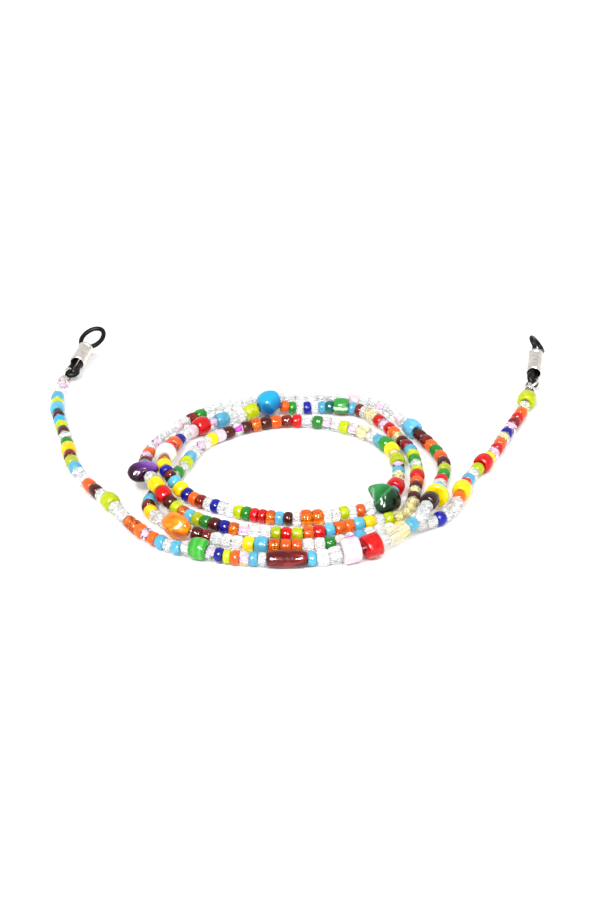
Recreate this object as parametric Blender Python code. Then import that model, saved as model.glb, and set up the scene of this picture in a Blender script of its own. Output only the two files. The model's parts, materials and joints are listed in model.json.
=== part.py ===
"""A beaded eyeglasses chain: glass beads on one stringing wire, laid down in a loose coil,
with a crimp tube, an eye ring, a rubber temple loop and a slide sleeve at each end."""

import math

import bmesh
import bpy
from mathutils import Matrix, Vector

MM = 0.001
UP = Vector((0, 0, 1))

# Driving dimensions, in millimetres.
CENTRE = (1.10, 1.87)        # middle of the whole chain, in the frame that ROUTE is drawn in
WIRE_D = 0.5
SEED_R = 1.5                 # corner radius of an ordinary seed bead
BIG_SEED_R = 1.75            # corner radius of a seed written with a capital letter
NECK_R = 1.0                 # where two neighbouring seeds meet
SEED_BORE_R = 0.72
SEED_SIDES = 6
RUN_MOST = 20                # seed beads in one run at most
GAP = 0.35                   # clearance between neighbouring pieces
SAMPLES = 24                 # smooth curve steps between two route points
WIRE_TURN = 14.0             # the wire has a point between two route points where it turns more

CRIMP_R, CRIMP_BORE_R, CRIMP_LENGTH = 1.3, 0.98, 1.0
LEG_SPACING = 0.65           # the wire and its tail, side by side in the crimp
RING_R, RING_WIRE_R = 1.65, 0.3
EYE_TO_BEAD = 2.6            # from the ring's wire to the first bead

RUBBER_R, EYE_RUBBER_R = 0.58, 0.72
LEG_OFFSET = 0.85            # each rubber leg from the fitting's axis
EYE_LOOP_R = 1.25
NECK_END = 11.2
SLEEVE_R, SLEEVE_RIM_R, SLEEVE_BORE_R, SLEEVE_LENGTH = 1.85, 1.98, 1.52, 7.0

# Where the wire lies: x, y, height in millimetres, and the accent bead centred there, if any.
ROUTE = (
    (-56.9, 28.6, 1.75, None),
    (-57.2, 22.0, 1.75, None),
    (-56.2, 15.0, 1.75, None),
    (-54.0, 7.0, 1.75, None),
    (-51.8, -0.5, 1.75, None),
    (-50.0, -7.5, 1.8, None),
    (-46.8, -14.5, 1.75, None),
    (-43.0, -20.2, 1.8, None),
    (-39.6, -24.8, 2.0, "lime_round_left"),
    (-36.8, -29.4, 1.75, None),
    (-33.4, -34.0, 1.75, None),
    (-29.0, -38.6, 1.75, None),
    (-24.6, -41.5, 1.8, None),
    (-20.0, -42.9, 2.3, "green_round"),
    (-14.8, -44.6, 1.8, None),
    (-9.0, -45.6, 1.8, None),
    (-2.6, -45.8, 1.75, "garnet_oval"),
    (4.6, -45.2, 1.9, None),
    (10.0, -44.2, 2.7, "pink_tube"),
    (14.2, -42.6, 2.7, "red_chunk"),
    (19.5, -38.9, 3.4, "crystal_tube"),
    (22.6, -36.8, 4.3, None),
    (24.6, -34.0, 4.8, None),
    (26.6, -28.8, 4.6, "brown_pearl"),
    (28.4, -25.0, 3.6, "yellow_disc"),
    (30.0, -16.6, 1.8, None),
    (31.2, -12.0, 1.75, None),
    (31.2, -7.2, 1.75, None),
    (29.8, -2.2, 1.75, None),
    (27.8, 2.2, 1.8, None),
    (25.4, 6.0, 2.3, "sky_round"),
    (23.2, 11.2, 1.75, None),
    (20.0, 16.2, 1.75, None),
    (14.6, 19.8, 1.75, None),
    (7.6, 21.4, 1.75, None),
    (0.0, 21.9, 1.75, None),
    (-7.2, 21.4, 1.75, None),
    (-13.0, 19.6, 1.75, None),
    (-18.6, 16.8, 1.75, None),
    (-23.6, 12.8, 1.75, None),
    (-28.0, 7.6, 1.75, None),
    (-31.2, 1.6, 1.9, None),
    (-33.0, -5.2, 2.8, None),
    (-33.4, -10.8, 3.7, None),
    (-32.6, -17.4, 5.0, "purple_nugget"),
    (-30.4, -21.8, 4.9, None),
    (-27.6, -25.6, 3.2, None),
    (-24.4, -28.4, 1.9, None),
    (-20.8, -31.2, 1.75, None),
    (-16.6, -33.4, 1.75, None),
    (-12.0, -35.2, 1.75, None),
    (-6.4, -36.2, 1.75, None),
    (-0.6, -36.6, 1.75, None),
    (5.0, -35.6, 1.75, None),
    (10.2, -33.6, 1.75, None),
    (15.8, -31.8, 1.75, None),
    (19.6, -30.6, 1.75, None),
    (22.2, -28.2, 1.75, None),
    (23.6, -24.4, 1.75, None),
    (24.4, -19.6, 1.75, None),
    (25.2, -14.2, 1.7, "red_round_middle"),
    (25.2, -8.4, 1.75, None),
    (24.4, -2.8, 1.75, None),
    (22.2, 2.6, 1.75, None),
    (19.8, 8.0, 1.75, None),
    (16.6, 12.6, 1.9, "gold_crystal"),
    (13.6, 15.8, 1.8, None),
    (9.6, 16.6, 2.2, "green_striped"),
    (4.2, 17.2, 1.75, None),
    (-1.6, 16.8, 1.8, None),
    (-7.2, 16.0, 3.0, "blue_nugget"),
    (-12.8, 13.8, 1.8, None),
    (-17.8, 10.8, 2.0, None),
    (-22.4, 7.2, 2.2, "red_round_rear"),
    (-25.6, 3.6, 2.0, None),
    (-27.6, -0.6, 2.5, None),
    (-28.6, -5.2, 3.6, None),
    (-29.0, -10.2, 4.9, "white_round"),
    (-29.0, -15.0, 4.8, None),
    (-27.2, -18.8, 4.3, None),
    (-24.2, -22.0, 2.5, None),
    (-20.4, -24.4, 1.75, None),
    (-14.6, -27.4, 1.75, None),
    (-8.8, -29.6, 1.75, None),
    (-2.8, -30.8, 1.75, None),
    (3.2, -30.6, 1.75, None),
    (8.8, -28.8, 1.75, None),
    (13.4, -27.8, 2.0, None),
    (17.6, -26.0, 3.0, "green_nugget"),
    (20.2, -19.2, 2.1, "red_round_inner"),
    (21.2, -13.2, 1.8, None),
    (21.2, -7.2, 1.8, None),
    (20.0, -2.0, 1.8, None),
    (16.8, 2.6, 1.75, None),
    (12.6, 6.2, 1.75, None),
    (7.4, 9.0, 1.75, None),
    (1.0, 10.6, 1.75, None),
    (-5.6, 10.2, 1.75, None),
    (-11.4, 8.2, 1.75, None),
    (-16.4, 5.0, 1.75, None),
    (-20.6, 1.2, 1.75, None),
    (-23.4, -4.0, 1.75, None),
    (-25.2, -9.6, 1.75, None),
    (-27.4, -15.2, 1.75, None),
    (-30.0, -20.0, 1.75, None),
    (-31.3, -23.6, 1.75, None),
    (-31.3, -27.0, 1.75, None),
    (-29.4, -30.4, 1.85, None),
    (-25.0, -35.6, 3.0, "orange_nugget"),
    (-18.4, -37.8, 1.75, None),
    (-12.6, -39.8, 1.8, None),
    (-6.6, -40.8, 1.8, None),
    (-0.6, -41.0, 1.75, None),
    (5.4, -40.2, 1.75, None),
    (11.0, -38.2, 1.75, None),
    (16.4, -35.6, 1.75, None),
    (22.0, -33.8, 1.75, None),
    (27.6, -31.6, 1.75, None),
    (31.8, -27.2, 1.75, None),
    (34.2, -20.4, 2.1, "yellow_round"),
    (36.6, -14.2, 1.75, None),
    (39.9, -9.2, 2.1, "red_round_right"),
    (43.0, -3.6, 1.75, None),
    (45.8, 2.8, 1.75, None),
    (48.8, 9.2, 1.8, None),
    (51.4, 14.8, 1.8, None),
    (53.2, 19.6, 2.3, "lime_round_right"),
    (54.4, 23.6, 2.0, None),
)

# The seed beads of each stretch, one letter a bead, from the left end to the right end.
STRETCHES = (
    "pcslSktlkcgYnlsccokc",
    "cccaaoposcsc",
    "pblopsc",
    "sCC",
    "",
    "c",
    "sccc",
    "",
    "sscrglkogonk",
    "cwccpccwcccccccpccccccgncwcccpcopnj",
    "cYRklaslgkbapcclrlorsoosyclededkdko",
    "lcglsvkeorpr",
    "cns",
    "jscbcgo",
    "LccSp",
    "wcbOry",
    "aYbnsYboncbcclgrraskcAAcclcoc",
    "s",
    "ddspLdYGscDplcpgcrnokakmkwycpcslcgccynsnycc",
    "kncccySaooccgcmscccycccbccco",
    "rscl",
    "yprodbpvroc",
    "k",
)

# Each accent bead: its shape, its length along the wire and its diameter.
# How far a nugget's middle lies from its hole, to the right as the strand runs.
HOLE_OFFSET = {"purple_nugget": 0.8, "green_nugget": 0.4}
ACCENTS = {
    "lime_round_left": ("round", 3.4, 3.8),
    "green_round": ("round", 3.6, 4.4),
    "garnet_oval": ("oval", 8.0, 3.5),
    "pink_tube": ("tube", 3.6, 5.1),
    "red_chunk": ("chunk", 3.3, 5.1),
    "crystal_tube": ("tube", 5.0, 3.3),
    "brown_pearl": ("round", 3.4, 3.8),
    "yellow_disc": ("round", 1.7, 5.0),
    "sky_round": ("round", 3.6, 4.2),
    "purple_nugget": ("nugget", 4.4, 6.2),
    "red_round_middle": ("round", 2.4, 3.2),
    "gold_crystal": ("chunk", 3.2, 3.6),
    "green_striped": ("round", 3.4, 4.0),
    "blue_nugget": ("nugget", 5.6, 5.8),
    "red_round_rear": ("round", 3.4, 4.2),
    "white_round": ("round", 4.0, 4.5),
    "green_nugget": ("nugget", 5.8, 6.4),
    "red_round_inner": ("round", 3.0, 4.0),
    "orange_nugget": ("nugget", 7.0, 5.8),
    "yellow_round": ("round", 3.6, 4.0),
    "red_round_right": ("round", 3.2, 4.1),
    "lime_round_right": ("round", 3.6, 4.4),
}
ACCENT_BORE_R, NUGGET_BORE_R = 0.85, 1.0
BEAD_SIDES = {                          # corners round each shape, and how far the first is turned
    "round": (8, 0.0), "oval": (8, 0.5), "tube": (8, 0.0), "chunk": (6, 0.5), "nugget": (10, 0.0),
}

# How each fitting lies: the heading, climb and roll of its loop, how the loop droops and sways past
# its neck, the sleeve's place along it, and how far the eye ring climbs and turns from the last bead.
FITTINGS = {
    "left": {"heading": 78.0, "climb": 7.0, "roll": 0.0, "droop": -0.36, "sway": 0.25, "sleeve_at": 7.35,
             "ring_climb": 0.08, "ring_turn": -27.0},
    "right": {"heading": 79.0, "climb": 16.0, "roll": -55.0, "droop": 0.62, "sway": 0.0, "sleeve_at": 5.8,
              "ring_climb": 0.05, "ring_turn": 0.0},
}

COLOURS = {
    "clear": ((0.86, 0.88, 0.87), 0.08, 0.0),
    "lime": ((0.62, 0.70, 0.05), 0.12, 0.0),
    "green": ((0.03, 0.32, 0.08), 0.12, 0.0),
    "garnet": ((0.16, 0.01, 0.02), 0.08, 0.0),
    "pink": ((0.88, 0.72, 0.78), 0.12, 0.0),
    "red": ((0.66, 0.02, 0.03), 0.12, 0.0),
    "brown": ((0.12, 0.06, 0.06), 0.10, 0.0),
    "yellow": ((0.90, 0.78, 0.03), 0.12, 0.0),
    "sky": ((0.35, 0.68, 0.85), 0.12, 0.0),
    "purple": ((0.16, 0.06, 0.20), 0.12, 0.0),
    "gold": ((0.72, 0.58, 0.25), 0.15, 0.0),
    "blue": ((0.02, 0.25, 0.62), 0.12, 0.0),
    "white": ((0.90, 0.90, 0.88), 0.12, 0.0),
    "orange": ((0.85, 0.25, 0.04), 0.15, 0.0),
    "crystal": ((0.80, 0.79, 0.66), 0.08, 0.0),
    "seeds": ((0.55, 0.42, 0.30), 0.12, 0.0),
    "rubber": ((0.012, 0.012, 0.013), 0.45, 0.0),
    "steel": ((0.78, 0.77, 0.75), 0.16, 1.0),
    "wire": ((0.20, 0.20, 0.21), 0.35, 0.0),
}


def clear_scene():
    for obj in list(bpy.data.objects):
        bpy.data.objects.remove(obj)


def material(name):
    """The named material, made on its first use."""
    if name in bpy.data.materials:
        return bpy.data.materials[name]
    colour, roughness, metallic = COLOURS[name]
    made = bpy.data.materials.new(name)
    made.use_nodes = True
    shader = made.node_tree.nodes["Principled BSDF"]
    shader.inputs["Base Color"].default_value = (*colour, 1.0)
    shader.inputs["Roughness"].default_value = roughness
    shader.inputs["Metallic"].default_value = metallic
    made.diffuse_color = (*colour, 1.0)
    return made


def placed(point):
    """A point of the route's frame, in metres in the chain's own frame."""
    return Vector((point[0] - CENTRE[0], point[1] - CENTRE[1], point[2])) * MM


def catmull_rom(a, b, c, d, t):
    return 0.5 * ((2 * b) + (c - a) * t + (2 * a - 5 * b + 4 * c - d) * t**2
                  + (3 * b - a - 3 * c + d) * t**3)


def smooth(points, steps):
    """A smooth curve through the points, with so many steps from each point to the next."""
    ends = [2 * points[0] - points[1], *points, 2 * points[-1] - points[-2]]
    curve = []
    for i in range(len(points) - 1):
        for k in range(steps):
            curve.append(catmull_rom(*ends[i:i + 4], k / steps))
    return [*curve, points[-1]]


class Strand:
    """The line of the wire, read by the distance along it."""

    def __init__(self):
        self.points = [placed(stop) for stop in ROUTE]
        self.curve = smooth(self.points, SAMPLES)
        self.run = [0.0]
        for a, b in zip(self.curve, self.curve[1:]):
            self.run.append(self.run[-1] + (b - a).length)

    def at(self, distance):
        """The place and the direction at a distance from the left end."""
        low, high = 0, len(self.run) - 1
        while high - low > 1:
            middle = (low + high) // 2
            if self.run[middle] <= distance:
                low = middle
            else:
                high = middle
        a, b = self.curve[low], self.curve[high]
        share = (distance - self.run[low]) / (self.run[high] - self.run[low])
        return a.lerp(b, share), (b - a).normalized()

    def accent_stops(self):
        """Each accent bead's name and its distance from the left end."""
        return [(stop[3], self.run[i * SAMPLES]) for i, stop in enumerate(ROUTE) if stop[3]]


def cross_axes(direction):
    """Two directions across the wire: sideways, and the one nearest to up."""
    side = direction.cross(UP).normalized()
    return side, side.cross(direction).normalized()


def ring(centre, axes, radii, turn=0.0):
    """A closed polygon around a centre, one radius for each corner."""
    side, up = axes
    corners = []
    for k, radius in enumerate(radii):
        angle = math.tau * (k + turn) / len(radii)
        corners.append(centre + side * (radius * math.cos(angle)) + up * (radius * math.sin(angle)))
    return corners


def add_object(name, colour, bm):
    bmesh.ops.recalc_face_normals(bm, faces=bm.faces)
    mesh = bpy.data.meshes.new(name)
    bm.to_mesh(mesh)
    bm.free()
    mesh.materials.append(material(colour))
    mesh.shade_smooth()
    mesh.set_sharp_from_angle(angle=math.radians(35))
    obj = bpy.data.objects.new(name, mesh)
    bpy.context.collection.objects.link(obj)
    return obj


def closed_loft(name, colour, rings, origin=None):
    """One body skinned over rings that come back to the first one."""
    bm = bmesh.new()
    origin = origin or Vector()
    corners = [[bm.verts.new(p - origin) for p in loop] for loop in rings]
    for i, loop in enumerate(corners):
        following = corners[(i + 1) % len(corners)]
        for k in range(len(loop)):
            after = (k + 1) % len(loop)
            bm.faces.new((loop[k], loop[after], following[after], following[k]))
    obj = add_object(name, colour, bm)
    obj.location = origin
    return obj


def run_of_seeds(name, strand, start, end, letters):
    """Seed beads strung tight against each other, made as one bored body."""
    pitch = (end - start) / len(letters)
    outer, inner = [], []
    for k in range(len(letters) + 1):
        place, direction = strand.at(start + pitch * k)
        axes = cross_axes(direction)
        outer.append(ring(place, axes, [NECK_R * MM] * SEED_SIDES, 0.5))
        inner.append(ring(place, axes, [SEED_BORE_R * MM] * SEED_SIDES, 0.5))
        if k == len(letters):
            break
        radius = BIG_SEED_R if letters[k].isupper() else SEED_R
        place, direction = strand.at(start + pitch * (k + 0.5))
        outer.append(ring(place, cross_axes(direction), [radius * MM] * SEED_SIDES, 0.5))
    return closed_loft(name, "seeds", outer + inner[::-1])


def round_profile(length, radius, steps=5, squareness=0.55):
    """Half-lengths and radii of a barrel shape, from one hole to the other."""
    edge = ACCENT_BORE_R + 0.25
    profile = []
    for k in range(steps):
        t = -1 + 2 * k / (steps - 1)
        bulge = (1 - abs(t) ** 2.2) ** squareness
        profile.append((t * length / 2, edge + (radius - edge) * bulge))
    return profile


def tube_profile(length, radius):
    return [(-length / 2, radius * 0.72), (-length * 0.36, radius), (length * 0.36, radius),
            (length / 2, radius * 0.72)]


def lump(shape, angle, along):
    """How far an uneven bead's surface lies from round, as a share of its radius."""
    if shape == "nugget":
        return 0.94 + 0.06 * math.sin(2 * angle + 1.1 + along * 0.3)
    if shape == "chunk":
        return 0.93 + 0.07 * math.cos(3 * angle + along * 0.5)
    return 1.0


def accent_bead(name, strand, distance):
    """A bored accent bead on the wire, with its own origin on the wire."""
    shape, length, diameter = ACCENTS[name]
    place, direction = strand.at(distance)
    sides, turn = BEAD_SIDES[shape]
    shape_of = tube_profile if shape in ("tube", "oval") else round_profile
    angles = [math.tau * (k + turn) / sides for k in range(sides)]
    bore = NUGGET_BORE_R if shape == "nugget" else ACCENT_BORE_R
    outer, inner = [], []
    for along, r in shape_of(length, diameter / 2):
        centre, heading = place + direction * (along * MM), direction
        if shape == "nugget":
            centre, heading = strand.at(distance + along * MM)
        axes = cross_axes(heading)
        aside = HOLE_OFFSET.get(name, 0.0) * (1 - (2 * along / length) ** 2)
        radii = [r * lump(shape, angle, along) * MM for angle in angles]
        outer.append(ring(centre + axes[0] * (aside * MM), axes, radii, turn))
        inner.append(ring(centre, axes, [bore * MM] * sides, turn))
    if name == "garnet_oval":
        outer = flat_bottomed(outer)
    if shape != "nugget":
        inner = [inner[0], inner[-1]]
    return closed_loft(name, name.split("_")[0], outer + inner[::-1], place)


def flat_bottomed(rings):
    """Lowers the two bottom corners of the middle rings onto the surface, as one level facet."""
    for loop in rings[1:3]:
        for corner in sorted(loop, key=lambda p: p.z)[:2]:
            corner.z = 0.0
    return rings


def string_beads(strand):
    """Every accent bead, and the runs of seed beads between them."""
    stops = strand.accent_stops()
    edges = [0.0]
    for name, distance in stops:
        half = ACCENTS[name][1] / 2 * MM
        edges += [distance - half, distance + half]
        accent_bead(name, strand, distance)
    edges.append(strand.run[-1])
    count = 0
    for i, letters in enumerate(STRETCHES):
        start, end = edges[2 * i], edges[2 * i + 1]
        start += GAP * MM if i else 0.0
        end -= GAP * MM if i < len(STRETCHES) - 1 else 0.0
        parts = math.ceil(len(letters) / RUN_MOST)
        for part in range(parts):
            first = len(letters) * part // parts
            last = len(letters) * (part + 1) // parts
            low = start + (end - start) * first / len(letters)
            high = start + (end - start) * last / len(letters)
            low += GAP / 2 * MM if part else 0.0
            high -= GAP / 2 * MM if part < parts - 1 else 0.0
            count += 1
            run_of_seeds(f"bead_run_{count:02d}", strand, low, high, letters[first:last])


class Fitting:
    """The places and directions of one end fitting."""

    def __init__(self, side, end, outward):
        facts = FITTINGS[side]
        self.side = side
        self.sleeve_at, self.droop, self.sway = facts["sleeve_at"], facts["droop"], facts["sway"]
        self.out = Vector((outward.x, outward.y, 0)).normalized()
        self.out = (self.out + UP * facts["ring_climb"]).normalized()
        heading, climb = math.radians(facts["heading"]), math.radians(facts["climb"])
        flat = Vector((math.cos(heading), math.sin(heading), 0))
        self.axis = flat * math.cos(climb) + UP * math.sin(climb)
        across = self.axis.cross(UP).normalized()
        above = across.cross(self.axis).normalized()
        roll = math.radians(facts["roll"])
        self.wide = across * math.cos(roll) + above * math.sin(roll)
        self.normal = self.wide.cross(self.axis).normalized()
        self.ring_tangent = (self.normal - self.out * self.normal.dot(self.out)).normalized()
        self.tail = self.ring_tangent.cross(self.out).normalized()
        self.eye = end + (self.out * EYE_TO_BEAD + self.tail * (LEG_SPACING / 2)) * MM
        turn = Matrix.Rotation(math.radians(facts["ring_turn"]), 3, self.ring_tangent)
        self.lean = turn @ self.out
        self.link = self.eye + self.lean * (2 * RING_R * MM)

    def wire_loop(self):
        """The wire from its tail in the crimp, round the eye ring and back to the strand."""
        r = 0.85
        shape = [(-2.3, r * 0.38), (-1.45, r * 0.38), (-0.6, r * 0.82), (0.0, r), (r * 0.72, r * 0.7),
                 (r, 0.0), (r * 0.72, -r * 0.7), (0.0, -r), (-0.6, -r * 0.82), (-1.45, -r * 0.38)]
        return [self.eye + (self.out * a + self.tail * b) * MM for a, b in shape]

    def on_axis(self, along, wide=0.0):
        past = max(0.0, along - NECK_END)
        bend = past * past / (past + 2.0)
        wide += self.sway * bend
        return self.link + (self.axis * along + self.wide * wide - UP * (self.droop * bend)) * MM


def round_tube(name, colour, points, across, radii, sides):
    """A closed hoop through the points, round in section; across is square to its plane."""
    rings = []
    for i, point in enumerate(points):
        direction = (points[(i + 1) % len(points)] - points[i - 1]).normalized()
        side = direction.cross(across).normalized()
        rings.append(ring(point, (side, across), [radii[i] * MM] * sides, 0.5))
    return closed_loft(name, colour, rings)


def temple_loop(fitting):
    """One rubber cord in a figure of eight: the eye loop, two legs and the loop for the temple."""
    half = []
    for k in range(7):
        angle = math.radians(180 - k * 140.5 / 6)
        half.append((EYE_LOOP_R * math.cos(angle), EYE_LOOP_R * math.sin(angle)))
    half += [(1.9, LEG_OFFSET), (NECK_END * 0.5, LEG_OFFSET), (NECK_END, LEG_OFFSET)]
    half += [(11.8, 1.35), (12.5, 1.95), (13.4, 2.4), (14.4, 2.55), (15.4, 2.4), (16.3, 1.95),
             (16.95, 1.3), (17.3, 0.5)]
    outline = half + [(u, -v) for u, v in half[:0:-1]]
    points = [fitting.on_axis(u, v) for u, v in outline]
    radii = [EYE_RUBBER_R if u < 1.5 else RUBBER_R for u, v in outline]
    return round_tube(f"temple_loop_{fitting.side}", "rubber", points, fitting.normal, radii, 6)


def slide_sleeve(fitting):
    """The metal sleeve that slides along the two rubber legs, with a rolled rim at each end."""
    half = SLEEVE_LENGTH / 2
    profile = [(-half, SLEEVE_R), (-half + 0.25, SLEEVE_RIM_R), (-half + 0.8, SLEEVE_RIM_R),
               (-half + 1.0, SLEEVE_R), (half - 1.0, SLEEVE_R), (half - 0.8, SLEEVE_RIM_R),
               (half - 0.25, SLEEVE_RIM_R), (half, SLEEVE_R), (half, SLEEVE_BORE_R),
               (-half, SLEEVE_BORE_R)]
    middle = fitting.on_axis(fitting.sleeve_at)
    axes = (fitting.wide, fitting.normal)
    rings = [ring(middle + fitting.axis * (a * MM), axes, [r * MM] * 14) for a, r in profile]
    return closed_loft(f"slide_sleeve_{fitting.side}", "steel", rings, middle)


def eye_ring(fitting):
    """The ring that joins the wire's eye to the rubber's eye loop."""
    middle = (fitting.eye + fitting.link) / 2
    points = []
    for k in range(16):
        angle = math.tau * k / 16
        points.append(middle + (fitting.lean * math.cos(angle)
                                + fitting.ring_tangent * math.sin(angle)) * (RING_R * MM))
    across = fitting.ring_tangent.cross(fitting.lean)
    return round_tube(f"eye_ring_{fitting.side}", "steel", points, across,
                      [RING_WIRE_R] * len(points), 6)


def crimp_tube(fitting):
    """The soft metal tube pressed over the wire and its tail."""
    near, far = -1.3, -1.3 - CRIMP_LENGTH
    profile = [(near, CRIMP_R * 0.94), (near - 0.3, CRIMP_R), (far + 0.3, CRIMP_R),
               (far, CRIMP_R * 0.94), (far, CRIMP_BORE_R), (near, CRIMP_BORE_R)]
    axes = (fitting.tail, fitting.ring_tangent)
    rings = [ring(fitting.eye + fitting.out * (a * MM), axes, [r * MM] * 12) for a, r in profile]
    return closed_loft(f"crimp_tube_{fitting.side}", "steel", rings)


def wire_line(strand):
    """The wire's points along the beads, closer together where it bends more."""
    points = []
    for first in range(0, len(strand.curve) - 1, SAMPLES):
        a, b, *_ = strand.curve[first:first + 2]
        y, z = strand.curve[first + SAMPLES - 1:first + SAMPLES + 1]
        points.append(a)
        if math.degrees((b - a).angle(z - y)) > WIRE_TURN:
            points.append(strand.curve[first + SAMPLES // 2])
    return [*points, strand.curve[-1]]


def stringing_wire(strand, left, right):
    """The one wire that carries every bead, with a loop round the eye ring at each end."""
    points = left.wire_loop() + wire_line(strand) + right.wire_loop()[::-1]
    curve = bpy.data.curves.new("stringing_wire", "CURVE")
    curve.dimensions = "3D"
    curve.bevel_depth = WIRE_D / 2 * MM
    curve.bevel_resolution = 2
    curve.render_resolution_u = 0
    curve.use_fill_caps = True
    line = curve.splines.new("POLY")
    line.points.add(len(points) - 1)
    for spot, point in zip(line.points, points):
        spot.co = (*point, 1.0)
    curve.materials.append(material("wire"))
    obj = bpy.data.objects.new("stringing_wire", curve)
    bpy.context.collection.objects.link(obj)
    return obj


def main():
    clear_scene()
    strand = Strand()
    string_beads(strand)
    ends = {
        "left": (strand.points[0], -strand.at(0.0)[1]),
        "right": (strand.points[-1], strand.at(strand.run[-1])[1]),
    }
    fittings = {side: Fitting(side, *place) for side, place in ends.items()}
    for fitting in fittings.values():
        temple_loop(fitting)
        slide_sleeve(fitting)
        eye_ring(fitting)
        crimp_tube(fitting)
    stringing_wire(strand, fittings["left"], fittings["right"])


main()
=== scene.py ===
"""A beaded eyeglasses chain laid in a loose coil: its glass beads, wire and end fittings in detail,
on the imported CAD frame."""

import json
import math
import random

import bpy
from mathutils import Matrix, Vector, noise

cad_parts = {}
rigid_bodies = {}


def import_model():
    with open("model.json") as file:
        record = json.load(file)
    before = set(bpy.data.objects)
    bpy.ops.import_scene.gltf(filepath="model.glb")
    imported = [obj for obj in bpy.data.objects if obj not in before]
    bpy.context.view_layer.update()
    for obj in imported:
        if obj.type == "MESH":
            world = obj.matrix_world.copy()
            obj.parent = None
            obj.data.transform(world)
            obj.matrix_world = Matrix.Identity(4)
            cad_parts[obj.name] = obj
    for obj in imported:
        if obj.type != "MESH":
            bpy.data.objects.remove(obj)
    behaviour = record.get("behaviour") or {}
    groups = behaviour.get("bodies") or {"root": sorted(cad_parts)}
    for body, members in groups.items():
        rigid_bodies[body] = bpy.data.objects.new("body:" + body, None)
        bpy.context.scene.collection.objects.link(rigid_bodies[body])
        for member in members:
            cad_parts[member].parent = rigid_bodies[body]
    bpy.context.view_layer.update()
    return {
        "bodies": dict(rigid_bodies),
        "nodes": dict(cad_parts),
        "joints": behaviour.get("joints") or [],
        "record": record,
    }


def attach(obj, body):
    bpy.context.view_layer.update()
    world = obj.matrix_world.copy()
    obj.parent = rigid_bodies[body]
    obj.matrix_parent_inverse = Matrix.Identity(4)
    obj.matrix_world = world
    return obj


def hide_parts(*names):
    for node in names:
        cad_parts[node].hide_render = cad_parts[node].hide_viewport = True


MM = 0.001
UP = Vector((0, 0, 1))

SAMPLES = 24                 # steps of the curve from one route point to the next
RUN_MOST = 20                # seeds in one run at most

# Driving dimensions, in millimetres, the same as the CAD model's.
CENTRE = (1.10, 1.87)
WIRE_D, WIRE_LENGTH = 0.5, 746.0
CRIMP_R, CRIMP_BORE_R, CRIMP_LENGTH = 1.3, 0.98, 1.0
CRIMP_FROM_EYE = 1.3
WIRE_EYE_R = 0.85
LEG_SPACING = 0.65
RING_R, RING_WIRE_R = 1.65, 0.3
EYE_TO_BEAD = 2.6
RUBBER_R, EYE_RUBBER_R = 0.58, 0.72
LEG_OFFSET = 0.85
EYE_LOOP_R = 1.25
NECK_END = 11.2
SLEEVE_R, SLEEVE_RIM_R, SLEEVE_BORE_R, SLEEVE_LENGTH = 1.85, 1.98, 1.52, 7.0

# How the glass varies from bead to bead, with sizes in millimetres.
SEED_R, BIG_SEED_R = (1.40, 1.52), (1.68, 1.78)
BIG_SEED_SHARE = 1.3         # how much more of the wire a large seed takes
SEED_BORE_SHARE = 0.43 / 1.5
SEED_MOST = 3.4              # the longest a seed gets, however slack its run
SEED_FILL = 0.985            # share of its place that a seed fills
SEED_DROP = 0.15             # how far a seed sags to the table
SEED_CLEARANCE = 0.02
LINING_DEPTH = -0.75         # sine of the section angle below which the hole's lining shows
SILVER_LINED = 0.12          # share of the clear seeds whose hole is silvered

NUGGET_BORE_R, ACCENT_BORE_R, TUBE_BORE_R = 0.85, 0.5, 0.55
BORE_BAND_R = 0.62           # an accent's surface closer to the wire than this is its lining
UNEVEN_FROM_R = 0.7          # and farther out than this it is roughened
GOLDEN_TURN = 2.39996        # radians between one worn face of a nugget and the next
ACCENT_SIDES, CRYSTAL_SIDES = 56, 8

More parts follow.
